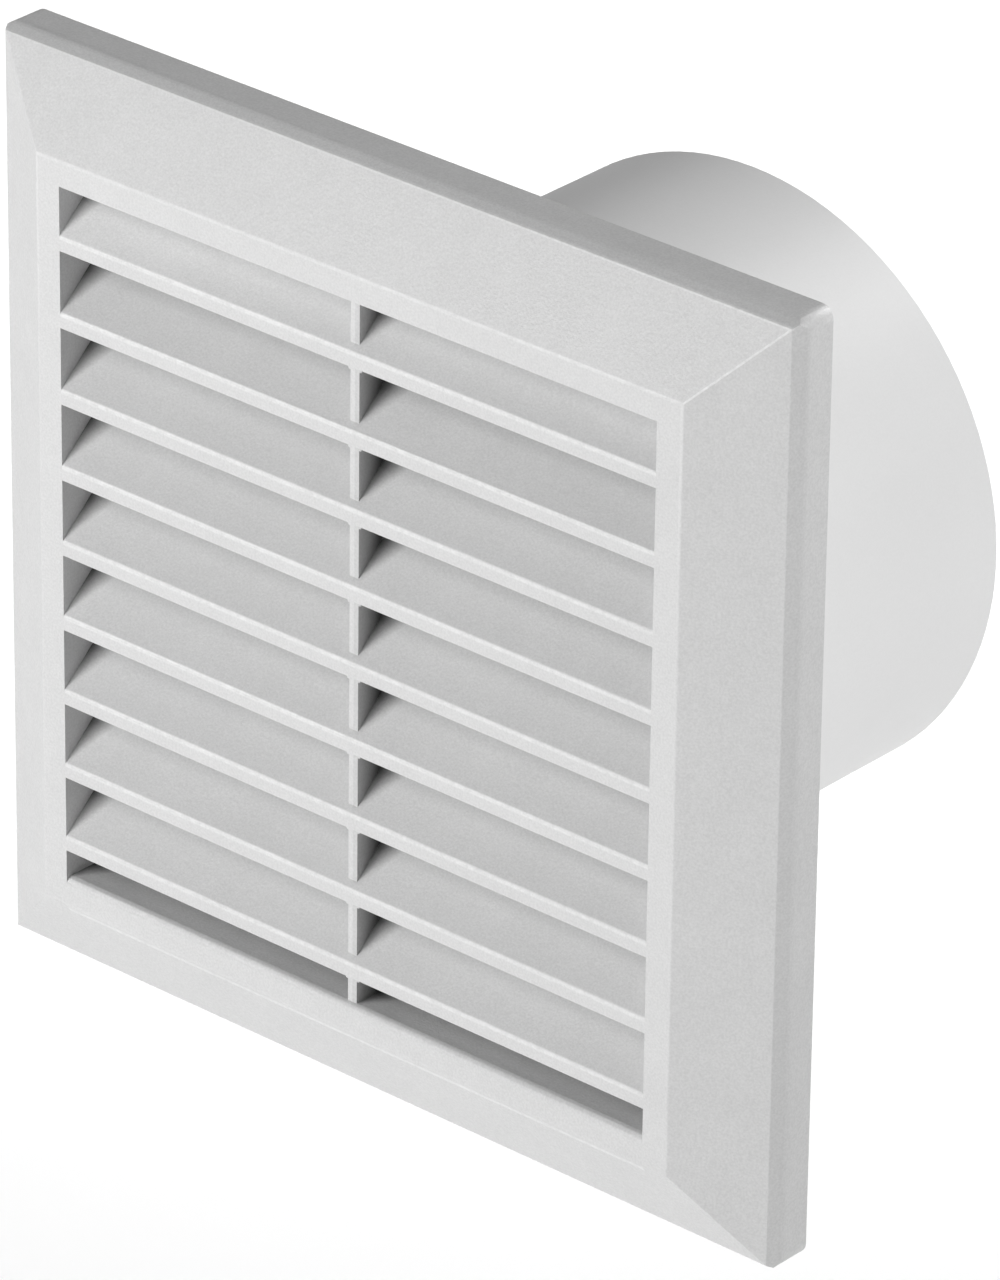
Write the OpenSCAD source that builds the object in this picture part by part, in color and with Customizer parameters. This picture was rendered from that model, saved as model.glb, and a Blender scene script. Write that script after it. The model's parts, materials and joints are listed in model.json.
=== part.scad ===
// Axial extractor fan for a round 100 mm wall duct, with a square louvred cover.
// +Z is up and the louvre faces -Y. The origin is the duct axis in the wall plane.

/* [Cover] */
// Width and height of the cover
cover_w = 150; // [146:0.5:160]
// Depth of the cover, from the wall to its flat face
cover_depth = 14.8; // [14:0.1:18]
// Depth at which the rim and the bevel would meet in a sharp edge
rim_depth = 6.9; // [6:0.1:8]
// How far the rim's chamfer runs back from that edge
rim_chamfer = 1.5; // [1:0.1:2.5]
// How far the rim's chamfer runs in from that edge
rim_inset = 1.1; // [0.5:0.1:1.2]
// Radius of the edge between the rim's side and its chamfer
rim_round = 3; // [1:0.1:4]
// Width and height of the flat face inside the bevel
face_w = 122; // [120:0.5:124]
// Radius of the edge between the bevel and the flat face
face_round = 0.8; // [0.4:0.1:1.5]
// Wall thickness of the cover
cover_wall = 2; // [1.5:0.1:2.2]
// Radius of the cover's four outer corners
cover_corner = 2; // [0.5:0.1:3]

/* [Louvre] */
// Number of slats
slats = 9; // [7:1:9]
// Distance from one slat to the next
slat_pitch = 12.3; // [12:0.1:12.4]
// Height of the flat strip along a slat's front
slat_strip = 2.4; // [1.8:0.1:3]
// Slope of the slats, rising inwards
slat_angle = 42; // [35:1:45]
// Depth of the louvre, from the flat face to the backs of the slats
slat_depth = 9.2; // [7:0.1:9.3]
// Radius of a slat's upper front edge
slat_round = 0.6; // [0.3:0.1:1]
// Width of the opening
opening_w = 113; // [110:0.5:114]
// Height of the opening's top edge above the duct axis
opening_top = 56.9; // [56:0.1:57.5]
// Depth of the sill's top below the duct axis
sill_drop = 56.3; // [56:0.1:57]
// Radius of the sill's front edge
sill_round = 1.2; // [0.6:0.1:1.8]
// Height of the first slat's upper front edge above the duct axis
first_slat = 49.1; // [48.5:0.1:49.5]
// Width of the upright bar between the two columns
bar_w = 1.7; // [1.4:0.1:3]
// Distance of the upright bar behind the flat face
bar_setback = 1; // [0.6:0.1:2]

/* [Wall plate and spigot] */
// Width and height of the wall plate
plate_w = 143; // [140:0.5:144]
// Thickness of the wall plate
plate_t = 2; // [1.8:0.1:2.5]
// Outside diameter of the spigot
spigot_d = 97; // [96:0.5:99]
// Length of the spigot behind the wall plane
spigot_len = 73; // [70:1:120]
// Wall thickness of the spigot
spigot_wall = 1.8; // [1.5:0.1:2]
// Distance between the wall screws, across and up
screw_span = 129; // [128:0.5:130]
// Diameter of the wall screw holes
screw_hole_d = 4.5; // [3.5:0.1:5]

/* [Motor] */
// Thickness of the stator's lamination stack
stack_t = 14; // [12:1:16]
// Diameter of the rotor
rotor_d = 19.2; // [18.8:0.1:19.3]
// Diameter of the shaft
shaft_d = 3; // [3:0.1:3.2]
// Radial clearance of the shaft in its bushes
bush_gap = 0.04; // [0.01:0.01:0.1]

/* [Impeller] */
// Number of blades
blades = 7; // [5:1:8]
// Diameter across the blade tips
impeller_d = 90.4; // [88:0.2:92]
// Thickness of a blade
blade_t = 1.6; // [1.2:0.1:2]

/* [Hidden] */
$fn = 72;

// Cover
cover_r = cover_w / 2;
face_r = face_w / 2;
inner_r = cover_r - cover_wall;
bevel_slope = (cover_depth - rim_depth) / (cover_r - face_r);
bevel_start = rim_depth + bevel_slope * rim_inset;
bevel_round = 0.3;
inner_rim = rim_depth - cover_wall / 2;
inner_face_r = inner_r - (cover_depth - cover_wall - inner_rim) / bevel_slope;
opening_r = opening_w / 2;
jamb_t = 1.8;
slat_back = slat_depth - cover_depth;
slat_foot = 0.6;
bar_head_w = 2.5;
bar_head_h = 1;
peg_r = 2;
peg_gap = 0.05;
peg_at = [65, 42];
peg_end = -0.6;
socket_r = 4.2;
socket_front = -7;
socket_back = 0;

// Wall plate and spigot
spigot_r = spigot_d / 2;
bore_r = spigot_r - spigot_wall;
plate_corner = 3;
spigot_chamfer = 0.6;
boss_r = 3.5;

// Motor bracket
cup_r = 28.8;
cup_wall = 1.8;
cup_front = -2.8;
cup_back = 32;
arm_w = 3;
arm_in = cup_r - 1;
arm_back = 8;
arm_end = bore_r - 0.8;
foot_w = 9;
foot_front = -5;
foot_t = 1.8;
foot_in = 44;
foot_out = 58;
foot_screw = 53.5;
small_screw_r = 1.25;
small_head_r = 2.6;
small_head_h = 1.4;
screw_play = 0.15;
lead_notch_w = 8.6;
cap_t = 1.6;
cap_play = 0.2;
cap_screw_at = 25.2;
cap_screw_r = 1;
cap_screw_len = 6;
cap_post_r = 2.6;

// Motor
motor_y = 16;
stack_front = motor_y - stack_t / 2;
stack_back = motor_y + stack_t / 2;
core_r = 26.2;
window_r = 22.6;
window_side = 19;
air_gap = 0.4;
rotor_r = rotor_d / 2;
rotor_bore = rotor_r + air_gap;
shoe_r = 13;
shoe_half = 53;
neck_w = 9;
bolt_x = 22.6;
bolt_r = 1.45;
bolt_hole_r = 1.6;
bolt_head_r = 2.6;
bolt_head_h = 1.7;
nut_r = 3.1;
nut_h = 2.4;
shading_at = 42;
shading_w = 1.2;
shading_in = 10.8;
shading_out = 12.2;
shading_half = 2.7;
bobbin_in = 13.3;
bobbin_out = 19.2;
bobbin_x = 11.5;
bobbin_over = 4.5;
bobbin_wall = 1;
bobbin_play = 0.1;
coil_inset = 0.6;
coil_front = stack_front - bobbin_over + 0.5;
fuse_r = 1.7;
fuse_len = 9;
plate_gap = 12.8;
bridge_t = 1.2;
bridge_w = 11;
bridge_x = 25.4;
bush_r = 3.4;
seat_r = 4.8;
seat_play = 0.4;
seat_start = 10.7;
seat_end = 15.2;
ring_t = 2.5;
washer_r = 3;
washer_gap = 0.05;
shaft_r = shaft_d / 2;
shaft_front = 0.4;
shaft_back = 59.6;
shaft_chamfer = 0.4;

// Impeller
hub_r = 19;
hub_wall = 2;
hub_front = 38;
hub_back = 57.5;
hub_chamfer = 1.5;
hub_boss_r = 4.5;
blade_front = 39;
blade_back = 57;
blade_half = 11.5;
blade_camber = 2.6;
tip_round = 19;
clip_r = 3.6;
clip_t = 0.8;

// Terminal side
term_x = [-67.5, -59.9];
term_middle = (term_x[0] + term_x[1]) / 2;
term_z = 11;
term_front = -8;
term_way = 5.5;
term_groove = 8.9;
wire_y = -4.4;
wire_hole_r = 1.1;
fixing_r = 1.1;
fixing_head_r = 1.8;
fixing_front = -7.2;
cable_x = -62.5;
cable_z = 29;
cable_hole_r = 4.5;
grommet_bore_r = 3.3;
clamp_z = [16, 22];
clamp_t = 1.4;
clamp_screw = 5.7;
clamp_screw_r = 1;

// Leads, from the terminal along the left arm into the motor cup and on to the winding
lead_r = 0.9;
lead_route = [[-59.9, -4.4, 5.5], [-57.5, -4, 5.8], [-55, -3.4, 6], [-50, -3.2, 6], [-46.5, -3, 6],
              [-43, -2.4, 5], [-39.5, -2, 3.4], [-36, -1.6, 2.6], [-32, -1.3, 2.5],
              [-28, -1.2, 2.6], [-24, -1.3, 4], [-19, -1.4, 8], [-14, -0.6, 12], [-10.5, 1.2, 14.8],
              [-9, 3, 16], [-9, 4.8, 16]];
lead_steps = 2;

// ---------- shared shapes ----------

function unit(v) = v / norm(v);

// Half the angle between two unit vectors
function half_angle(u, w) = acos(u * w) / 2;

// Convex outline with round corners: each corner is [x, y, radius], and a radius of 0 stays sharp.
module rounded_outline(corners) {
    n = len(corners);
    spots = [for (c = corners) [c[0], c[1]]];
    before = [for (i = [0 : n - 1]) unit(spots[(i + n - 1) % n] - spots[i])];
    after = [for (i = [0 : n - 1]) unit(spots[(i + 1) % n] - spots[i])];
    angle = [for (i = [0 : n - 1]) half_angle(before[i], after[i])];
    cut = [for (i = [0 : n - 1]) corners[i][2] / tan(angle[i])];
    polygon([for (i = [0 : n - 1], side = corners[i][2] > 0 ? [0, 1] : [0])
        spots[i] + cut[i] * (side == 0 ? before[i] : after[i])]);
    for (i = [0 : n - 1])
        if (corners[i][2] > 0)
            translate(spots[i] + unit(before[i] + after[i]) * corners[i][2] / sin(angle[i]))
                circle(corners[i][2]);
}

// Square with round corners, centred
module rounded_square(size, r) {
    rounded_outline([[-size / 2, -size / 2, r], [size / 2, -size / 2, r],
                     [size / 2, size / 2, r], [-size / 2, size / 2, r]]);
}

// Outline in X and Z, made solid from y0 to y1
module along_y(y0, y1) {
    translate([0, y1, 0]) rotate([90, 0, 0]) linear_extrude(y1 - y0) children();
}

// Outline in Y and Z, made solid from x0 to x1
module along_x(x0, x1) {
    translate([x0, 0, 0]) rotate([90, 0, 90]) linear_extrude(x1 - x0) children();
}

// Round bar or disc along the duct axis, at a place in X and Z
module rod(y0, y1, r, at = [0, 0]) {
    translate([at[0], y0, at[1]]) rotate([-90, 0, 0]) cylinder(h = y1 - y0, r = r);
}

// Cone along the duct axis
module cone(y0, y1, r0, r1, at = [0, 0]) {
    translate([at[0], y0, at[1]]) rotate([-90, 0, 0]) cylinder(h = y1 - y0, r1 = r0, r2 = r1);
}

// Outline of radius and Y, turned about the duct axis
module turned() {
    rotate([-90, 0, 0]) rotate_extrude() children();
}

module ring(y0, y1, r_out, r_in, at = [0, 0]) {
    difference() {
        rod(y0, y1, r_out, at);
        rod(y0 - 1, y1 + 1, r_in, at);
    }
}

// Block given by its lowest and highest corners
module block(low, high) {
    translate(low) cube(high - low);
}

// Places the same thing left and right
module both_sides() {
    children();
    mirror([1, 0, 0]) children();
}

// Four places, one in each quarter
module four_corners(x, z) {
    for (sx = [-1, 1], sz = [-1, 1]) translate([sx * x, 0, sz * z]) children();
}

// Cross slot of a screw head, cut from y0 forwards
module cross_slot(y0, size, depth, at = [0, 0]) {
    translate([at[0], y0, at[1]]) for (a = [0, 90]) rotate([0, a, 0])
        translate([-size, -1, -size / 6]) cube([2 * size, 1 + depth, size / 3]);
}

// Round wire swept through points: an open tube with flat ends
function spline(p, i, t) =
    let (a = p[max(i - 1, 0)], b = p[i], c = p[i + 1], d = p[min(i + 2, len(p) - 1)])
    0.5 * (2 * b + (c - a) * t + (2 * a - 5 * b + 4 * c - d) * t * t + (3 * b - a - 3 * c + d) * t * t * t);
function smooth(p, steps) =
    concat([for (i = [0 : len(p) - 2], k = [0 : steps - 1]) spline(p, i, k / steps)], [p[len(p) - 1]]);
function heading(p, i) = unit(p[min(i + 1, len(p) - 1)] - p[max(i - 1, 0)]);

module wire(route, r, sides = 8) {
    path = smooth(route, lead_steps);
    n = len(path);
    up = [0, 0, 1];
    points = [for (i = [0 : n - 1])
        let (along = heading(path, i), side = unit(cross(along, up)), top = cross(side, along))
        for (k = [0 : sides - 1])
            path[i] + r * (side * cos(360 * k / sides) + top * sin(360 * k / sides))];
    walls = [for (i = [0 : n - 2], k = [0 : sides - 1])
        let (a = i * sides + k, b = i * sides + (k + 1) % sides)
        each [[a, a + sides, b + sides], [a, b + sides, b]]];
    start = [for (k = [0 : sides - 1]) k];
    finish = [for (k = [sides - 1 : -1 : 0]) (n - 1) * sides + k];
    polyhedron(points, concat(walls, [start, finish]));
}

// ---------- cover ----------

// Cross-section of the cover's outside, as half width against Y
module cover_section() {
    rounded_outline([[-cover_r, 0, 0], [-cover_r, rim_chamfer - rim_depth, rim_round],
                     [rim_inset - cover_r, -bevel_start, bevel_round],
                     [-face_r, -cover_depth, face_round], [face_r, -cover_depth, face_round],
                     [cover_r - rim_inset, -bevel_start, bevel_round],
                     [cover_r, rim_chamfer - rim_depth, rim_round], [cover_r, 0, 0]]);
}

module hollow_section() {
    polygon([[-inner_r, 1], [-inner_r, -inner_rim], [-inner_face_r, cover_wall - cover_depth],
             [inner_face_r, cover_wall - cover_depth], [inner_r, -inner_rim], [inner_r, 1]]);
}

// Bevelled block: the section run both ways, and what the two runs share
module crossed(size) {
    intersection() {
        translate([0, 0, -size / 2]) linear_extrude(size) children();
        along_x(-size / 2, size / 2) rotate(-90) children();
    }
}

module cover_shell() {
    difference() {
        intersection() {
            crossed(cover_w) cover_section();
            along_y(-cover_depth - 1, 0) rounded_square(cover_w, cover_corner);
        }
        crossed(cover_w) hollow_section();
    }
}

module louvre_frame() {
    block([-opening_r - jamb_t, -cover_depth + 1, -sill_drop - jamb_t],
          [opening_r + jamb_t, slat_back, opening_top + jamb_t]);
}

module louvre_opening() {
    block([-opening_r, -cover_depth - 1, -sill_drop], [opening_r, 0, opening_top]);
    along_x(-opening_r, opening_r) difference() {
        translate([-cover_depth - 1, -sill_drop - sill_round]) square([1 + sill_round, sill_round + 1]);
        translate([sill_round - cover_depth, -sill_drop - sill_round]) circle(sill_round);
    }
}

module slat() {
    rise = slat_depth * tan(slat_angle);
    along_x(-opening_r - slat_foot, opening_r + slat_foot)
        rounded_outline([[-cover_depth, 0, slat_round], [-cover_depth, -slat_strip, 0],
                         [slat_back, rise - slat_strip, 0], [slat_back, rise, 0]]);
}

module upright_bar() {
    front = bar_setback - cover_depth;
    block([-bar_w / 2, front, -sill_drop - slat_foot], [bar_w / 2, slat_back, opening_top + slat_foot]);
    for (i = [0 : slats - 1])
        translate([0, 0, first_slat - i * slat_pitch - slat_strip])
            block([-bar_head_w / 2, front, -bar_head_h], [bar_head_w / 2, front + 1, slat_foot]);
}

// Pegs that push into the sockets of the wall plate, rooted inside the bevel's wall
module pegs() {
    intersection() {
        four_corners(peg_at[0], peg_at[1]) rod(-cover_depth, peg_end, peg_r);
        crossed(cover_w) translate([0, -cover_wall / 2]) hollow_section();
    }
}

module front_grille() {
    color("white") {
        difference() {
            union() {
                cover_shell();
                louvre_frame();
            }
            louvre_opening();
        }
        for (i = [0 : slats - 1]) translate([0, 0, first_slat - i * slat_pitch]) slat();
        upright_bar();
        pegs();
    }
}

// ---------- wall plate and spigot ----------

module base_plate() {
    color("whitesmoke") difference() {
        union() {
            along_y(-plate_t, 0) rounded_square(plate_w, plate_corner);
            turned() polygon([[bore_r, -plate_t], [spigot_r, -plate_t],
                              [spigot_r, spigot_len - spigot_chamfer],
                              [spigot_r - spigot_chamfer, spigot_len], [bore_r, spigot_len]]);
            four_corners(peg_at[0], peg_at[1]) rod(socket_front, socket_back, socket_r);
            for (a = [0 : 90 : 270]) rotate([0, a, 0]) rod(foot_front + foot_t, 0, boss_r, [foot_screw, 0]);
        }
        rod(-plate_t - 1, spigot_len + 1, bore_r);
        four_corners(peg_at[0], peg_at[1]) rod(socket_front - 1, 1, peg_r + peg_gap);
        four_corners(screw_span / 2, screw_span / 2) rod(-plate_t - 1, 1, screw_hole_d / 2);
        for (a = [0 : 90 : 270]) rotate([0, a, 0]) rod(foot_front, 1, small_screw_r, [foot_screw, 0]);
        rod(-plate_t - 1, 1, cable_hole_r, [cable_x, cable_z]);
        rod(-plate_t - 1, 1, fixing_r, [term_middle, 0]);
        at_clamp_screws() rod(-plate_t - 1, 1, clamp_screw_r);
    }
}

// ---------- motor bracket ----------

// The two places of the cap's screws
module at_cap_screws() {
    for (a = [45, 225]) rotate([0, a, 0]) translate([cap_screw_at, 0, 0]) children();
}

module arm() {
    block([arm_in, foot_front, -arm_w / 2], [arm_end, arm_back, arm_w / 2]);
    block([foot_in, foot_front, -foot_w / 2], [foot_out, foot_front + foot_t, foot_w / 2]);
}

module motor_bracket() {
    color("gainsboro") difference() {
        union() {
            for (a = [0 : 90 : 270]) rotate([0, a, 0]) arm();
            rod(cup_front, cup_back, cup_r);
        }
        difference() {
            rod(cup_front - 3, cup_back - 2, cup_r - cup_wall);
            at_cap_screws() rod(cup_front, cup_front + cap_screw_len, cap_post_r);
        }
        at_cap_screws() rod(cup_front - 1, cup_front + 5, cap_screw_r);
        rod(cup_back - 3, cup_back + 1, seat_r + seat_play);
        for (s = [-1, 1]) rod(cup_back - 3, cup_back + 1, bolt_hole_r, [s * bolt_x, 0]);
        block([-cup_r - 1, cup_front - 1, -lead_notch_w / 2], [-cup_r + cup_wall + 1, 0, -arm_w / 2]);
        block([-cup_r - 1, cup_front - 1, arm_w / 2], [-cup_r + cup_wall + 1, 0, lead_notch_w / 2]);
        for (a = [0 : 90 : 270]) rotate([0, a, 0]) {
            rod(foot_front - 1, foot_front + foot_t + 1, small_screw_r + screw_play, [foot_screw, 0]);
            cone(foot_front, foot_front + small_head_h, small_head_r, small_screw_r, [foot_screw, 0]);
        }
    }
}

// Screws that point backwards: y0 is where a countersunk head starts, and where a pan head ends
module countersunk_screw(y0, length, r, head_r, head_h) {
    difference() {
        union() {
            cone(y0, y0 + head_h, head_r, r);
            rod(y0, y0 + length, r);
        }
        cross_slot(y0, head_r * 0.6, 0.6);
    }
}

module pan_screw(y0, length, r, head_r, head_h) {
    difference() {
        union() {
            cone(y0 - head_h, y0, head_r * 0.75, head_r);
            rod(y0 - 0.1, y0 + length, r);
        }
        cross_slot(y0 - head_h, head_r * 0.6, 0.6);
    }
}

module bracket_screws() {
    color("silver") for (a = [0 : 90 : 270]) rotate([0, a, 0]) translate([foot_screw, 0, 0])
        countersunk_screw(foot_front, -foot_front - 0.3, small_screw_r, small_head_r, small_head_h);
}

module motor_cap() {
    color("gainsboro") difference() {
        rod(cup_front - cap_t, cup_front, cup_r);
        at_cap_screws() rod(cup_front - cap_t - 1, cup_front + 1, cap_screw_r + screw_play);
        for (a = [0 : 90 : 270]) rotate([0, a, 0])
            block([arm_in - cap_play, cup_front - cap_t - 1, -arm_w / 2 - cap_play],
                  [cup_r + 1, cup_front + 1, arm_w / 2 + cap_play]);
    }
}

module cap_screws() {
    color("silver") at_cap_screws() pan_screw(cup_front - cap_t, cap_screw_len, cap_screw_r, 1.8, 0.9);
}

// ---------- motor: what stands still ----------

module pole_outline() {
    for (s = [-1, 1]) scale([1, s]) {
        translate([-neck_w / 2, shoe_r - 1]) square([neck_w, window_r - shoe_r + 1.6]);
        intersection() {
            difference() {
                circle(shoe_r);
                circle(rotor_bore);
            }
            polygon([[0, 0], for (a = [-shoe_half, 0, shoe_half]) 30 * [sin(a), cos(a)]]);
        }
    }
}

module core_outline() {
    difference() {
        circle(core_r);
        intersection() {
            circle(window_r);
            square([2 * window_side, 2 * core_r], center = true);
        }
    }
    pole_outline();
}

module shading_slots() {
    for (a = [0, 180]) rotate([0, a, 0]) rotate([0, shading_at - 90, 0])
        block([shading_in, 0, shading_half], [shading_out, stack_back + 5, shading_half + shading_w]);
}

module stator_core() {
    color("slategray") difference() {
        along_y(stack_front, stack_back) core_outline();
        both_sides() rod(stack_front - 1, stack_back + 1, bolt_hole_r, [bolt_x, 0]);
        shading_slots();
    }
}

module shading_rings() {
    color("peru") for (a = [0, 180]) rotate([0, a, 0]) rotate([0, shading_at - 90, 0]) difference() {
        block([shading_in, stack_front - shading_w, -shading_half - shading_w],
              [shading_out, stack_back + shading_w, shading_half + shading_w]);
        block([shading_in - 1, stack_front, -shading_half], [shading_out + 1, stack_back, shading_half]);
    }
}

// Rectangular sleeve round a pole, from z0 to z1, with a margin outside the pole on each side
module sleeve(z0, z1, outside, inside) {
    difference() {
        block([-neck_w / 2 - outside, stack_front - outside, z0],
              [neck_w / 2 + outside, stack_back + outside, z1]);
        block([-neck_w / 2 - inside, stack_front - inside, z0 - 1],
              [neck_w / 2 + inside, stack_back + inside, z1 + 1]);
    }
}

module up_and_down() {
    children();
    mirror([0, 0, 1]) children();
}

module coil_bobbins() {
    color("ivory") up_and_down() {
        sleeve(bobbin_in, bobbin_out, bobbin_play + bobbin_wall, bobbin_play);
        for (z = [bobbin_in, bobbin_out - bobbin_wall]) difference() {
            block([-bobbin_x, stack_front - bobbin_over, z],
                  [bobbin_x, stack_back + bobbin_over, z + bobbin_wall]);
            block([-neck_w / 2 - bobbin_play, stack_front - bobbin_play, z - 1],
                  [neck_w / 2 + bobbin_play, stack_back + bobbin_play, z + bobbin_wall + 1]);
        }
    }
}

module windings() {
    inside = bobbin_play + bobbin_wall;
    color("chocolate") up_and_down() difference() {
        block([-bobbin_x + coil_inset, coil_front, bobbin_in + bobbin_wall],
              [bobbin_x - coil_inset, 2 * motor_y - coil_front, bobbin_out - bobbin_wall]);
        block([-neck_w / 2 - inside, stack_front - inside, 0],
              [neck_w / 2 + inside, stack_back + inside, bobbin_out]);
    }
}

// Bridge that carries the front bush; the rear one is its mirror image
module bearing_bridge() {
    y0 = motor_y - plate_gap - bridge_t;
    difference() {
        union() {
            block([-bridge_x, y0, -bridge_w / 2], [bridge_x, y0 + bridge_t, bridge_w / 2]);
            both_sides() block([window_side + 0.6, y0, -bridge_w / 2], [bridge_x, stack_front, bridge_w / 2]);
            rod(motor_y - seat_end, motor_y - seat_start, seat_r);
        }
        rod(motor_y - seat_end - 1, motor_y - seat_start + 1, bush_r);
        both_sides() rod(y0 - 1, stack_front + 1, bolt_hole_r, [bolt_x, 0]);
    }
}

module bush() {
    ring(motor_y - seat_end, motor_y - seat_start, bush_r, shaft_r + bush_gap);
}

// The motor's rear half mirrors its front half
module at_rear() {
    translate([0, 2 * motor_y, 0]) mirror([0, 1, 0]) children();
}

module front_bearing_plate() {
    color("lightgray") bearing_bridge();
}

module rear_bearing_plate() {
    color("lightgray") at_rear() bearing_bridge();
}

module front_bearing() {
    color("darkgoldenrod") bush();
}

module rear_bearing() {
    color("darkgoldenrod") at_rear() bush();
}

module motor_bolts() {
    y0 = motor_y - plate_gap - bridge_t;
    color("silver") both_sides() difference() {
        union() {
            rod(y0 - bolt_head_h, y0, bolt_head_r, [bolt_x, 0]);
            rod(y0 - 0.1, cup_back + 3.6, bolt_r, [bolt_x, 0]);
        }
        cross_slot(y0 - bolt_head_h, 1.5, 0.8, [bolt_x, 0]);
    }
}

module motor_nuts() {
    color("silver") both_sides() difference() {
        translate([bolt_x, cup_back, 0]) rotate([-90, 0, 0]) cylinder(h = nut_h, r = nut_r, $fn = 6);
        rod(cup_back - 1, cup_back + 4, bolt_r, [bolt_x, 0]);
    }
}

module thermal_fuse() {
    color("dimgray") translate([-fuse_len / 2, coil_front - fuse_r, (bobbin_in + bobbin_out) / 2])
        rotate([0, 90, 0]) cylinder(h = fuse_len, r = fuse_r);
}

// ---------- motor: what turns ----------

module rotor_core() {
    color("slategray") ring(stack_front, stack_back, rotor_r, shaft_r);
}

module rotor_end_rings() {
    color("lightsteelblue") {
        ring(stack_front - ring_t, stack_front, rotor_r - 0.4, shaft_r + 3);
        ring(stack_back, stack_back + ring_t, rotor_r - 0.4, shaft_r + 3);
    }
}

module shaft() {
    color("silver") {
        rod(shaft_front + shaft_chamfer, shaft_back - shaft_chamfer, shaft_r);
        cone(shaft_front, shaft_front + shaft_chamfer, shaft_r - shaft_chamfer, shaft_r);
        cone(shaft_back - shaft_chamfer, shaft_back, shaft_r, shaft_r - shaft_chamfer);
    }
}

module thrust_washers() {
    near = seat_start - washer_gap;
    color("saddlebrown") {
        ring(motor_y - near, stack_front, washer_r, shaft_r);
        ring(stack_back, motor_y + near, washer_r, shaft_r);
    }
}

// Curved plate of one blade, as Y against Z: it leads on the room side
module blade_section() {
    chord = norm([blade_back - blade_front, 2 * blade_half]);
    pitch = atan2(2 * blade_half, blade_back - blade_front);
    arc_r = chord * chord / (8 * blade_camber) + blade_camber / 2;
    middle = [(blade_front + blade_back) / 2, 0];
    intersection() {
        translate(middle + (arc_r - blade_camber) * [sin(pitch), -cos(pitch)]) difference() {
            circle(arc_r + blade_t / 2, $fn = 180);
            circle(arc_r - blade_t / 2, $fn = 180);
        }
        translate(middle) rotate(pitch) square([chord, 4 * blade_camber + 2 * blade_t], center = true);
    }
}

module blade() {
    intersection() {
        along_x(hub_r - 1.4, impeller_d / 2 + 1) blade_section();
        rod(hub_front, hub_back + 2, impeller_d / 2);
        rod(hub_front, hub_back + 2, tip_round, [(impeller_d / 2 + hub_r) / 2 - 2, 0]);
    }
}

module impeller() {
    color("white") difference() {
        union() {
            turned() polygon([[0, hub_back - hub_wall], [hub_r - hub_wall, hub_back - hub_wall],
                              [hub_r - hub_wall, hub_front], [hub_r, hub_front],
                              [hub_r, hub_back - hub_chamfer], [hub_r - hub_chamfer, hub_back],
                              [0, hub_back]]);
            rod(hub_front + 1, hub_back, hub_boss_r);
            for (i = [0 : blades - 1]) rotate([0, 360 * i / blades, 0]) blade();
        }
        rod(hub_front - 1, hub_back + 1, shaft_r);
    }
}

module impeller_clip() {
    color("gray") difference() {
        ring(hub_back, hub_back + clip_t, clip_r, shaft_r);
        block([0, hub_back - 1, -0.7], [5, hub_back + 2, 0.7]);
    }
}

// ---------- mains connection ----------

module at_ways() {
    for (s = [-1, 1]) translate([term_middle, 0, s * term_way]) children();
}

// Way for one conductor, through the block from side to side
module wire_hole() {
    translate([-5, wire_y, 0]) rotate([0, 90, 0]) cylinder(h = 10, r = wire_hole_r);
}

module terminal_block() {
    color("linen") difference() {
        block([term_x[0], term_front, -term_z], [term_x[1], -plate_t, term_z]);
        at_ways() {
            rod(term_front - 1, -5, 1.5);
            block([-2.3, -6.2, -2], [2.3, -2.6, 2]);
            wire_hole();
        }
        rod(term_front - 1, -6, fixing_head_r + 0.1, [term_middle, 0]);
        rod(-7, 0, fixing_r + 0.05, [term_middle, 0]);
        for (s = [-1, 1])
            block([term_x[0] - 1, term_front - 1, s * term_groove - 0.6],
                  [term_x[1] + 1, -6.6, s * term_groove + 0.6]);
    }
}

module terminal_clamps() {
    color("gold") at_ways() difference() {
        block([-2.2, -6.1, -1.9], [2.2, -2.7, 1.9]);
        wire_hole();
        rod(-7, wire_y, 1.2);
    }
}

module terminal_screws() {
    color("silver") at_ways() difference() {
        rod(-7.2, -5.6, 1.2);
        block([-2, -8, -0.2], [2, -6.7, 0.2]);
    }
}

module terminal_fixing_screw() {
    color("silver") difference() {
        union() {
            rod(fixing_front, -6, fixing_head_r, [term_middle, 0]);
            rod(-6.1, -0.4, fixing_r, [term_middle, 0]);
        }
        cross_slot(fixing_front, 1.1, 0.5, [term_middle, 0]);
    }
}

module cable_grommet() {
    color("dimgray") difference() {
        union() {
            rod(-3.4, -plate_t, 5.8, [cable_x, cable_z]);
            rod(-plate_t, 0, cable_hole_r, [cable_x, cable_z]);
        }
        rod(-4, 1, grommet_bore_r, [cable_x, cable_z]);
    }
}

// The two places of the cord clamp's screws
module at_clamp_screws() {
    for (s = [-1, 1]) translate([cable_x + s * clamp_screw, 0, (clamp_z[0] + clamp_z[1]) / 2]) children();
}

module cord_clamp() {
    color("white") difference() {
        translate([cable_x, 0, clamp_z[0]]) linear_extrude(clamp_z[1] - clamp_z[0]) difference() {
            polygon([[-7.6, -plate_t], [-7.6, -plate_t - clamp_t], [-4, -plate_t - clamp_t], [-3.4, -7.4],
                     [3.4, -7.4], [4, -plate_t - clamp_t], [7.6, -plate_t - clamp_t], [7.6, -plate_t]]);
            polygon([[-2.8, -1], [-2.6, -6.2], [2.6, -6.2], [2.8, -1]]);
        }
        at_clamp_screws() rod(-4, -1, clamp_screw_r + 0.1);
    }
}

module cord_clamp_screws() {
    color("silver") at_clamp_screws() pan_screw(-plate_t - clamp_t, 3, clamp_screw_r, 1.6, 1.1);
}

module lead_live() {
    color("brown") wire(lead_route, lead_r);
}

module lead_neutral() {
    color("royalblue") mirror([0, 0, 1]) wire(lead_route, lead_r);
}

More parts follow.
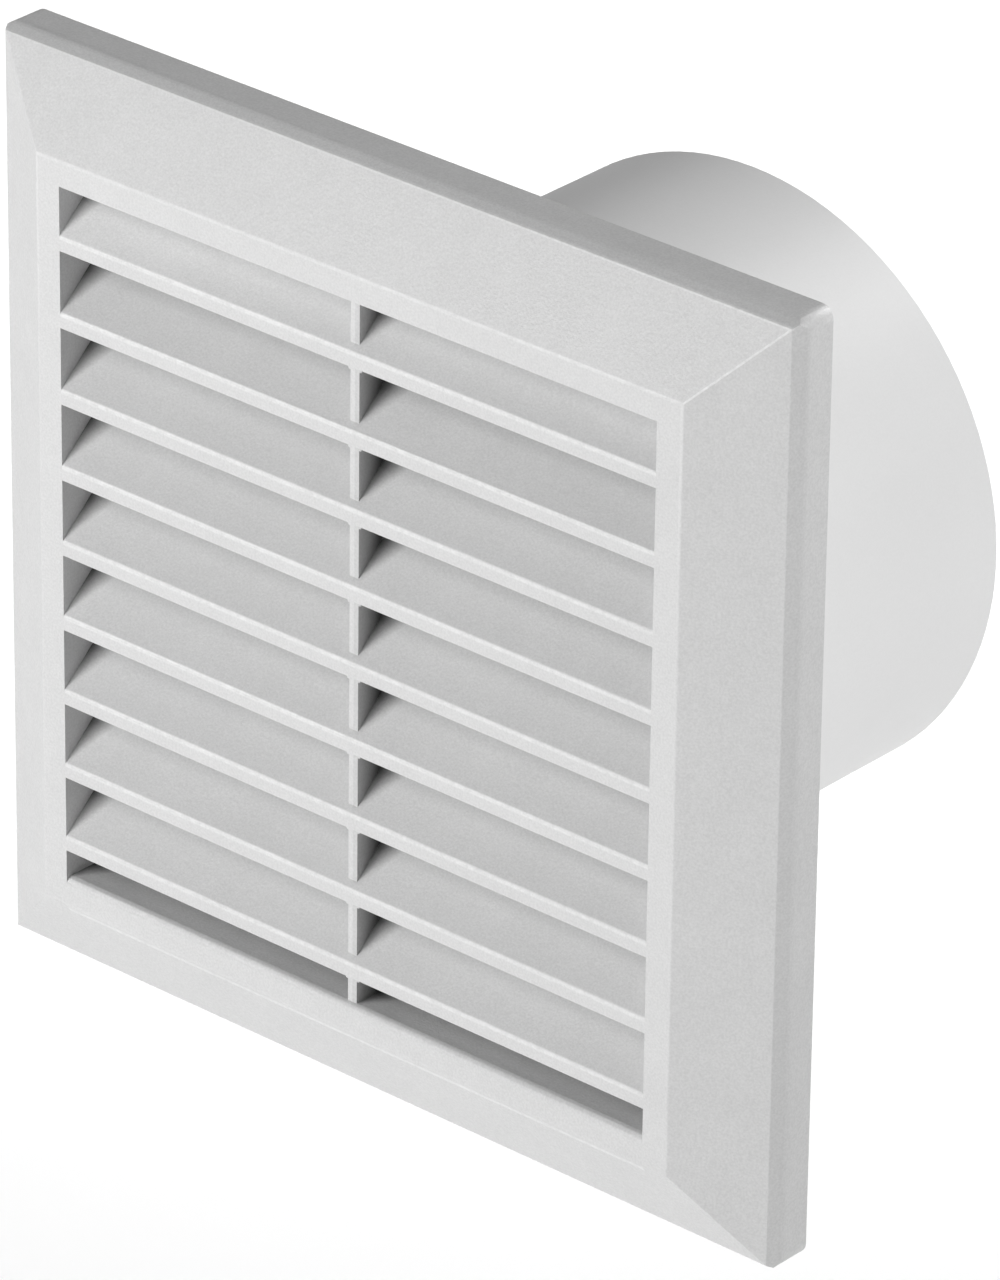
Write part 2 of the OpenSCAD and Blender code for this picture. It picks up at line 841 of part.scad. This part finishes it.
front_grille();
base_plate();
motor_bracket();
bracket_screws();
motor_cap();
cap_screws();
stator_core();
coil_bobbins();
windings();
shading_rings();
front_bearing_plate();
rear_bearing_plate();
front_bearing();
rear_bearing();
motor_bolts();
motor_nuts();
thermal_fuse();
rotor_core();
rotor_end_rings();
shaft();
thrust_washers();
impeller();
impeller_clip();
terminal_block();
terminal_clamps();
terminal_screws();
terminal_fixing_screw();
cable_grommet();
cord_clamp();
cord_clamp_screws();
lead_live();
lead_neutral();
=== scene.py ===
"""A bathroom extractor fan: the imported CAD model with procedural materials, in a plain pale studio."""
import json
import math

import bpy
from mathutils import Matrix, Vector

MM = 0.001

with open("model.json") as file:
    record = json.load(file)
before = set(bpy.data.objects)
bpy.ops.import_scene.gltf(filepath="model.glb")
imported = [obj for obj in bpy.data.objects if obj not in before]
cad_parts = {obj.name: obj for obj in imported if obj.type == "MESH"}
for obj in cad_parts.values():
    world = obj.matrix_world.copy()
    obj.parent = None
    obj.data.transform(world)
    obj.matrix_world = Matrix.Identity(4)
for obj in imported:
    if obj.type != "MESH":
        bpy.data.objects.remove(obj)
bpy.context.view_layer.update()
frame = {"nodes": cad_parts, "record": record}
nodes = frame["nodes"]


# ---------------------------------------------------------------- node graphs
class Graph:
    """A material's node tree, built by short calls. Patterns read Object coordinates, in metres."""

    def __init__(self, name):
        self.material = bpy.data.materials.new(name)
        self.material.use_nodes = True
        self.tree = self.material.node_tree
        self.tree.nodes.clear()
        self.shader = self.add("ShaderNodeBsdfPrincipled")
        out = self.add("ShaderNodeOutputMaterial")
        self.link(self.shader.outputs["BSDF"], out.inputs["Surface"])
        self.place = self.add("ShaderNodeTexCoord").outputs["Object"]

    def add(self, kind, **settings):
        node = self.tree.nodes.new(kind)
        for key, value in settings.items():
            setattr(node, key, value)
        return node

    def link(self, source, target):
        self.tree.links.new(source, target)

    def put(self, value, target):
        """Feeds a socket from another node, or sets its constant."""
        if isinstance(value, bpy.types.NodeSocket):
            self.link(value, target)
        else:
            target.default_value = value

    def math(self, operation, a, b=0.0, clamp=False):
        node = self.add("ShaderNodeMath", operation=operation, use_clamp=clamp)
        self.put(a, node.inputs[0])
        self.put(b, node.inputs[1])
        return node.outputs[0]

    def spread(self, value, low, high, out_low, out_high):
        """Maps low..high to out_low..out_high, and holds the ends."""
        node = self.add("ShaderNodeMapRange")
        for socket, amount in zip(node.inputs, (value, low, high, out_low, out_high)):
            self.put(amount, socket)
        return node.outputs["Result"]

    def stretched(self, scale):
        """Object coordinates multiplied by a scale for each axis."""
        node = self.add("ShaderNodeMapping")
        self.link(self.place, node.inputs["Vector"])
        node.inputs["Scale"].default_value = scale
        return node.outputs["Vector"]

    def noise(self, size, detail=2.0, rough=0.5, place=None):
        node = self.add("ShaderNodeTexNoise")
        self.link(place or self.place, node.inputs["Vector"])
        node.inputs["Scale"].default_value = 1.0 / size
        node.inputs["Detail"].default_value = detail
        node.inputs["Roughness"].default_value = rough
        return node.outputs["Fac"]

    def bands(self, pitch, direction="Y", kind="BANDS", wobble=0.0):
        """Evenly spaced lines. A Wave texture of scale 1 repeats every tau / 20."""
        node = self.add("ShaderNodeTexWave", wave_type=kind)
        if kind == "BANDS":
            node.bands_direction = direction
        else:
            node.rings_direction = direction
        self.link(self.place, node.inputs["Vector"])
        node.inputs["Scale"].default_value = math.tau / 20 / pitch
        node.inputs["Distortion"].default_value = wobble
        node.inputs["Detail Scale"].default_value = 2.0
        return node.outputs["Fac"]

    def blend(self, amount, a, b):
        node = self.add("ShaderNodeMix", data_type="RGBA")
        self.put(amount, node.inputs["Factor"])
        self.put(rgba(a), node.inputs["A"])
        self.put(rgba(b), node.inputs["B"])
        return node.outputs["Result"]

    def blend_value(self, amount, a, b):
        node = self.add("ShaderNodeMix", data_type="FLOAT")
        for socket, value in zip(node.inputs, (amount, None, a, b)):
            if value is not None:
                self.put(value, socket)
        return node.outputs["Result"]

    def shaded(self, colour, factor):
        node = self.add("ShaderNodeVectorMath", operation="SCALE")
        self.put(colour, node.inputs[0])
        self.put(factor, node.inputs["Scale"])
        return node.outputs["Vector"]

    def bump(self, height, depth, below=None):
        node = self.add("ShaderNodeBump")
        node.inputs["Strength"].default_value = 1.0
        node.inputs["Distance"].default_value = depth
        self.link(height, node.inputs["Height"])
        if below is not None:
            self.link(below, node.inputs["Normal"])
        return node.outputs["Normal"]

    def finish(self, colour, roughness, normal=None, **fixed):
        self.put(rgba(colour), self.shader.inputs["Base Color"])
        self.put(roughness, self.shader.inputs["Roughness"])
        if normal is not None:
            self.link(normal, self.shader.inputs["Normal"])
        for key, value in fixed.items():
            self.shader.inputs[key.replace("_", " ")].default_value = value
        return self.material


def rgba(value):
    if isinstance(value, (tuple, list)) and len(value) == 3:
        return (*value, 1.0)
    return value


def grey(value):
    return (value, value, value)


def tinted(colour, factor):
    return tuple(min(1.0, channel * factor) for channel in colour)


NOISE_LOW, NOISE_HIGH = 0.3, 0.7  # most of a noise texture's values lie between these
CREASE_SHADE = 0.12  # how light the plastic is painted where shade falls in a deep crease, against the clean plastic
EDGE_HIGHLIGHT = 1.35  # how light the plastic is painted along an edge as a highlight, against the plain plastic


def plastic(name, colour, rough, grain_mm=0.22, grain_depth=0.012, wave_depth=0.03, mottle=0.015,
            sheen_spread=0.08, speckle=0.0, crease_shade=None, edges=None, **fixed):
    """Moulded plastic: fine grain of the tool's surface, slow waves from shrinkage, and faint cloudy mottling.
    Depths are in millimetres. crevice(graph) gives where shade is painted darker into the colour, and
    edges(graph) where a highlight is painted lighter into it, with a little lower roughness."""
    g = Graph(name)
    grain = g.noise(grain_mm * MM, 3.0, 0.6)
    waves = g.noise(17 * MM, 1.0)
    cloud = g.math("ADD", g.math("MULTIPLY", g.noise(9 * MM, 4.0, 0.62), 0.6),
                   g.math("MULTIPLY", g.noise(1.6 * MM, 2.0), 0.4))
    shade = g.blend(g.spread(cloud, NOISE_LOW, NOISE_HIGH, 0.0, 1.0),
                    tinted(colour, 1 - mottle), tinted(colour, 1 + mottle))
    patches = g.noise(4 * MM, 3.0, 0.6)
    roughness = g.math("ADD", g.spread(patches, NOISE_LOW, NOISE_HIGH,
                                       rough - sheen_spread / 2, rough + sheen_spread / 2),
                       g.spread(grain, NOISE_LOW, NOISE_HIGH, -0.02, 0.02), clamp=True)
    if speckle:
        specks = g.noise(0.36 * MM, 1.0)
        shade = g.shaded(shade, g.spread(specks, NOISE_LOW, NOISE_HIGH, 1 - speckle, 1 + speckle))
    # Painted shade: the colour darkens where the crevice function is 1.
    if crease_shade:
        shade = g.shaded(shade, g.spread(crease_shade(g), 0.0, 1.0, 1.0, CREASE_SHADE))
    # Painted highlight: the colour lightens along the edges function, which also lowers the roughness there.
    if edges:
        mark = edges(g)
        shade = g.blend(mark, shade, tinted(colour, EDGE_HIGHLIGHT))
        roughness = g.math("SUBTRACT", roughness, g.math("MULTIPLY", mark, 0.12))
    low = g.bump(waves, wave_depth * MM)
    fine = g.bump(grain, grain_depth * MM, below=low)
    return g.finish(shade, roughness, fine, **fixed)


def metal(name, colour, rough, scratch=(40, 900, 900), scratch_depth=0.004, stain=0.08, turned=None, **fixed):
    """Bare or plated metal: fine drawn lines, cloudy stains in colour and gloss, and turned rings where given."""
    g = Graph(name)
    lines = g.noise(1.0, 3.0, 0.6, place=g.stretched(scratch))
    stains = g.noise(2.2 * MM, 4.0, 0.65)
    shade = g.blend(g.spread(stains, NOISE_LOW, NOISE_HIGH, 0.0, 1.0),
                    tinted(colour, 1 - stain), tinted(colour, 1 + stain))
    roughness = g.math("ADD", g.spread(stains, NOISE_LOW, NOISE_HIGH, rough - 0.06, rough + 0.06),
                       g.spread(lines, NOISE_LOW, NOISE_HIGH, -0.05, 0.05), clamp=True)
    normal = g.bump(lines, scratch_depth * MM)
    if turned:
        normal = g.bump(g.bands(turned * MM, kind="RINGS"), scratch_depth * MM, below=normal)
    return g.finish(shade, roughness, normal, Metallic=1.0, **fixed)


def sheets(name):
    """Stacked electrical steel, seen edge on: one line for each half-millimetre sheet, blued by annealing."""
    g = Graph(name)
    edges = g.bands(0.5 * MM, "Y")
    blue = g.noise(3 * MM, 4.0, 0.6)
    base = g.blend(g.spread(blue, 0.35, 0.65, 0.0, 1.0), (0.19, 0.2, 0.22), (0.28, 0.27, 0.27))
    shade = g.blend(g.spread(edges, 0.0, 0.35, 1.0, 0.0), base, (0.06, 0.06, 0.065))
    roughness = g.math("ADD", g.spread(edges, 0.0, 1.0, 0.55, 0.38),
                       g.spread(blue, NOISE_LOW, NOISE_HIGH, -0.05, 0.05))
    return g.finish(shade, roughness, g.bump(edges, 0.03 * MM), Metallic=0.85)


def wound_wire(name):
    """Enamelled copper wire in tight layers, each turn a quarter of a millimetre."""
    g = Graph(name)
    turns = g.bands(0.25 * MM, "X", wobble=0.25)
    cloud = g.noise(2.5 * MM, 3.0)
    base = g.blend(g.spread(cloud, NOISE_LOW, NOISE_HIGH, 0.0, 1.0), (0.42, 0.13, 0.035), (0.62, 0.24, 0.08))
    shade = g.blend(g.spread(turns, 0.0, 0.5, 1.0, 0.0), base, (0.12, 0.03, 0.01))
    return g.finish(shade, g.spread(turns, 0.0, 1.0, 0.5, 0.26), g.bump(turns, 0.06 * MM),
                    Metallic=0.7, Coat_Weight=0.4, Coat_Roughness=0.2)


def insulation(name, colour):
    """Soft PVC sleeve: satin, slightly uneven along its length."""
    g = Graph(name)
    wear = g.noise(1.4 * MM, 3.0)
    fine = g.noise(0.15 * MM, 2.0)
    shade = g.blend(g.spread(wear, NOISE_LOW, NOISE_HIGH, 0.0, 1.0), tinted(colour, 0.85), tinted(colour, 1.15))
    return g.finish(shade, g.spread(fine, NOISE_LOW, NOISE_HIGH, 0.32, 0.46), g.bump(wear, 0.02 * MM),
                    Specular_IOR_Level=0.45)


# ---------------------------------------------------------------- painted highlights and painted shade on the cover
# The cover's sizes, from part.scad, in metres
FACE_HALF, FLAT_Y = 61 * MM, -14.8 * MM
BEVEL_HALF, BEVEL_Y = 73.9 * MM, -7.52 * MM
FIRST_STRIP, STRIP_PITCH = 49.1 * MM, 12.3 * MM
OPENING_HALF, BAR_HALF = 56.5 * MM, 0.85 * MM


class CoverPlaces:
    """Where a point of the cover lies, as maths on its Object coordinates."""

    def __init__(self, g):
        self.g = g
        split = g.add("ShaderNodeSeparateXYZ")
        g.link(g.place, split.inputs[0])
        self.x, self.y, self.z = split.outputs
        self.across, self.up = g.math("ABSOLUTE", self.x), g.math("ABSOLUTE", self.z)
        self.widest = g.math("MAXIMUM", self.across, self.up)

    def near(self, distance, reach):
        """1 at no distance, fading to 0 at the reach."""
        return self.g.spread(self.g.math("ABSOLUTE", distance), 0.4 * reach, reach, 1.0, 0.0)

    def all_of(self, *masks):
        """The product of masks."""
        result = masks[0]
        for mask in masks[1:]:
            result = self.g.math("MULTIPLY", result, mask)
        return result


def cover_edge_highlights(g):
    """Painted highlight along an edge, with a little lower roughness: the upper mitre most, then the bevel's
    outer edge and the strips, stronger towards the top and right.
    """
    at = CoverPlaces(g)
    front = g.math("LESS_THAN", at.y, FLAT_Y + 1.1 * MM)
    upper = g.spread(at.z, 20 * MM, 60 * MM, 0.15, 1.0)
    right = g.spread(at.x, -70 * MM, 60 * MM, 0.25, 1.0)
    rim = at.all_of(at.near(g.math("SUBTRACT", at.widest, FACE_HALF - 0.1 * MM), 0.35 * MM), front, upper)
    mitre = at.all_of(at.near(g.math("SUBTRACT", at.across, at.up), 0.3 * MM),
                      g.math("GREATER_THAN", at.widest, FACE_HALF),
                      g.math("LESS_THAN", at.widest, BEVEL_HALF), upper, right)
    crest = at.all_of(at.near(g.math("SUBTRACT", at.up, BEVEL_HALF), 0.3 * MM),
                      at.near(g.math("SUBTRACT", at.y, BEVEL_Y), 0.5 * MM), upper, right)
    steps = g.math("DIVIDE", g.math("SUBTRACT", at.z, FIRST_STRIP - STRIP_PITCH / 2), STRIP_PITCH)
    offset = g.math("MULTIPLY", g.math("SUBTRACT", g.math("FRACT", steps), 0.5), STRIP_PITCH)
    inside = g.math("LESS_THAN", at.across, OPENING_HALF)
    strip = at.all_of(at.near(g.math("ADD", offset, 0.25 * MM), 0.45 * MM), front, inside,
                      g.math("LESS_THAN", at.z, FIRST_STRIP + 2 * MM))
    # Noise breaks the painted highlight into dots.
    dotted = g.spread(g.noise(0.9 * MM, 3.0, 0.7), 0.35, 0.65, 0.3, 1.0)
    mark = g.math("MAXIMUM", g.math("MULTIPLY", rim, 0.4), g.math("MULTIPLY", strip, 0.6))
    mark = g.math("MAXIMUM", mark, g.math("MAXIMUM", mitre, g.math("MULTIPLY", crest, 0.75)))
    return g.math("MULTIPLY", mark, dotted)


def cover_crease_shade(g):
    """Painted shade: 1 where a slat meets an upright, deep in the louvre, and 0 elsewhere."""
    at = CoverPlaces(g)
    depth = g.math("SUBTRACT", at.y, FLAT_Y)
    past_jamb = g.math("ADD", at.x, OPENING_HALF)
    past_bar = g.math("SUBTRACT", at.x, BAR_HALF)
    gap = g.blend_value(g.math("GREATER_THAN", past_bar, -BAR_HALF), past_jamb, past_bar)
    reach = g.math("ADD", g.math("MULTIPLY", depth, 0.75), 0.1 * MM)
    share = g.math("DIVIDE", g.math("MAXIMUM", gap, 0.0), reach)
    return at.all_of(g.spread(share, 0.0, 1.0, 1.0, 0.0), g.spread(depth, 0.4 * MM, 5.5 * MM, 0.0, 1.0),
                     g.math("LESS_THAN", at.widest, OPENING_HALF))


# ---------------------------------------------------------------- one material for each slot of the record
materials = {
    # The cover has painted shade in the louvre's creases and painted highlights along its edges.
    "cover_abs": plastic("cover_abs", grey(0.63), 0.4, grain_mm=0.4, grain_depth=0.04, mottle=0.03, speckle=0.055,
                         crease_shade=cover_crease_shade, edges=cover_edge_highlights),
    "housing_abs": plastic("housing_abs", grey(0.83), 0.36, grain_depth=0.004, wave_depth=0.015, mottle=0.006,
                           sheen_spread=0.03, speckle=0.01),
    "bracket_plastic": plastic("bracket_plastic", (0.78, 0.78, 0.765), 0.4, grain_depth=0.008),
    "impeller_plastic": plastic("impeller_plastic", (0.66, 0.67, 0.67), 0.34, grain_depth=0.005, mottle=0.02),
    "bobbin_nylon": plastic("bobbin_nylon", (0.62, 0.6, 0.52), 0.42,
                            Subsurface_Weight=0.1, Subsurface_Scale=0.002),
    "washer_nylon": plastic("washer_nylon", (0.17, 0.065, 0.02), 0.4, mottle=0.12),
    "terminal_nylon": plastic("terminal_nylon", (0.75, 0.74, 0.68), 0.38,
                              Subsurface_Weight=0.1, Subsurface_Scale=0.002),
    "clamp_plastic": plastic("clamp_plastic", (0.74, 0.74, 0.73), 0.42),
    "grommet_rubber": plastic("grommet_rubber", (0.035, 0.035, 0.037), 0.62, grain_mm=0.3, mottle=0.2,
                              sheen_spread=0.15),
    "fuse_body": plastic("fuse_body", (0.03, 0.03, 0.032), 0.45, mottle=0.12),
    "zinc_steel": metal("zinc_steel", (0.62, 0.64, 0.66), 0.3, turned=0.35),
    "bridge_steel": metal("bridge_steel", (0.6, 0.62, 0.65), 0.34),
    "shaft_steel": metal("shaft_steel", (0.56, 0.56, 0.57), 0.2, scratch=(900, 60, 900)),
    "cage_aluminium": metal("cage_aluminium", (0.72, 0.73, 0.74), 0.42, scratch_depth=0.01),
    "bronze": metal("bronze", (0.55, 0.37, 0.18), 0.4),
    "copper": metal("copper", (0.75, 0.34, 0.18), 0.3),
    "terminal_brass": metal("terminal_brass", (0.72, 0.54, 0.25), 0.28),
    "laminations": sheets("laminations"),
    "copper_wire": wound_wire("copper_wire"),
    "wire_brown": insulation("wire_brown", (0.17, 0.065, 0.03)),
    "wire_blue": insulation("wire_blue", (0.03, 0.13, 0.42)),
}
slot_of = {part["node"]: part["material_slot"] for part in frame["record"]["subparts"]}
for name, piece in nodes.items():
    for slot in piece.material_slots:
        slot.material = materials[slot_of[name]]


# ---------------------------------------------------------------- softened edges
FLAT_DEGREES = 0.6  # triangles that turn less than this are one face
SHARP_DEGREES = 32  # edges that turn more than this are rounded


def soften(name, width_mm, edge=None):
    """Rounds a moulded part's sharp edges, as a tool leaves them. edge is a material for the rounds."""
    piece = nodes[name]
    weld = piece.modifiers.new("weld", "WELD")
    weld.merge_threshold = 0.001 * MM
    flat = piece.modifiers.new("flat", "DECIMATE")
    flat.decimate_type = "DISSOLVE"
    flat.angle_limit = math.radians(FLAT_DEGREES)
    bevel = piece.modifiers.new("bevel", "BEVEL")
    bevel.width = width_mm * MM
    bevel.segments = 2
    bevel.limit_method = "ANGLE"
    bevel.angle_limit = math.radians(SHARP_DEGREES)
    bevel.harden_normals = True
    bevel.use_clamp_overlap = True
    if edge is not None:
        piece.data.materials.append(edge)
        bevel.material = 1


# The cover's rounds get a lighter, glossier copy of its plastic: a painted highlight along every edge.
soften("front_grille", 0.15, plastic("cover_edge", grey(0.7), 0.34, grain_mm=0.45, grain_depth=0.006))
for name in ("terminal_block", "cord_clamp"):
    soften(name, 0.2)


# ---------------------------------------------------------------- studio
def look_from(azimuth, elevation, roll=0.0):
    """The unit vector to this direction, and a rotation that looks back from it. Azimuth 0 looks along +Y."""
    a, e = math.radians(azimuth), math.radians(elevation)
    back = Vector((math.sin(a) * math.cos(e), -math.cos(a) * math.cos(e), math.sin(e)))
    turn = back.to_track_quat("Z", "Y").to_matrix() @ Matrix.Rotation(math.radians(roll), 3, "Z")
    return back, turn.to_4x4()


TARGET = Vector((15.65, 0.0, 3.25)) * MM
DISTANCE = 1359 * MM
camera_data = bpy.data.cameras.new("camera")
camera_data.sensor_fit = "VERTICAL"
camera_data.sensor_width = camera_data.sensor_height = 36
camera_data.lens = 267.7
camera_data.clip_start, camera_data.clip_end = 0.1, 60
back, turn = look_from(41.05, 27.43, 0.70)
camera = bpy.data.objects.new("camera", camera_data)
camera.matrix_world = Matrix.Translation(TARGET + back * DISTANCE) @ turn
bpy.context.scene.collection.objects.link(camera)
bpy.context.scene.camera = camera


def softbox(name, azimuth, elevation, distance, width, height, power, spread=180):
    """A rectangular light that faces the origin, and that the camera doesn't see."""
    data = bpy.data.lights.new(name, "AREA")
    data.shape = "RECTANGLE"
    data.size, data.size_y = width, height
    data.energy = power
    data.spread = math.radians(spread)
    lamp = bpy.data.objects.new(name, data)
    away, facing = look_from(azimuth, elevation)
    lamp.matrix_world = Matrix.Translation(away * distance) @ facing
    lamp.visible_camera = False
    bpy.context.scene.collection.objects.link(lamp)
    return lamp


# name, azimuth and elevation in degrees, distance, width and height in metres, power in watts
SOFTBOXES = [
    ("front", 10, 1, 1.6, 0.9, 0.4, 5.6),
    ("left", -14, 16, 1.6, 0.9, 0.7, 1.5),
    ("left_up", -18, 38, 1.6, 0.9, 0.7, 6.5),
    ("near_left", -25, 12, 0.6, 0.3, 0.3, 1.55),
    ("near_right", 110, 25, 0.6, 0.3, 0.3, 1.68),
    ("back", 175, 24, 1.6, 0.8, 0.8, 15.5),
]
for row in SOFTBOXES:
    softbox(*row)


def overhead(name, azimuth, reach, height, size, power, spread):
    """A softbox that faces straight down on the floor, off to one side of the object."""
    lamp = softbox(name, azimuth, 0, reach, size, size, power, spread)
    place = lamp.matrix_world.translation
    lamp.matrix_world = Matrix.Translation((place.x, place.y, height))


overhead("backdrop", 221, 0.75, 0.5, 0.6, 1.7, 80)

FLOOR_Z = -0.30
FLOOR_HALF = 14.0
mesh = bpy.data.meshes.new("floor")
corners = [(x * FLOOR_HALF, y * FLOOR_HALF, FLOOR_Z) for x, y in ((-1, -1), (1, -1), (1, 1), (-1, 1))]
mesh.from_pydata(corners, [], [(0, 1, 2, 3)])
floor = bpy.data.objects.new("floor", mesh)
bpy.context.scene.collection.objects.link(floor)
g = Graph("floor_paint")
paint = g.blend(g.noise(0.5, 3.0), grey(0.6), grey(0.62))
gloss = g.spread(g.noise(0.02), NOISE_LOW, NOISE_HIGH, 0.75, 0.85)
mesh.materials.append(g.finish(paint, gloss, Specular_IOR_Level=0.2,
                               Emission_Color=(1, 1, 1, 1), Emission_Strength=0.34))

# The world lights the object faintly, and is pale where a low view looks past the floor.
world = bpy.data.worlds.new("studio")
world.use_nodes = True
tree = world.node_tree
background = tree.nodes["Background"]
background.inputs["Color"].default_value = (1, 1, 1, 1)
strength = tree.nodes.new("ShaderNodeMapRange")
strength.inputs["To Min"].default_value = 0.02
strength.inputs["To Max"].default_value = 0.7
seen = tree.nodes.new("ShaderNodeLightPath").outputs["Is Camera Ray"]
tree.links.new(seen, strength.inputs["Value"])
tree.links.new(strength.outputs["Result"], background.inputs["Strength"])
bpy.context.scene.world = world
bpy.context.scene.view_settings.view_transform = "Standard"
bpy.context.scene.view_settings.look = "None"
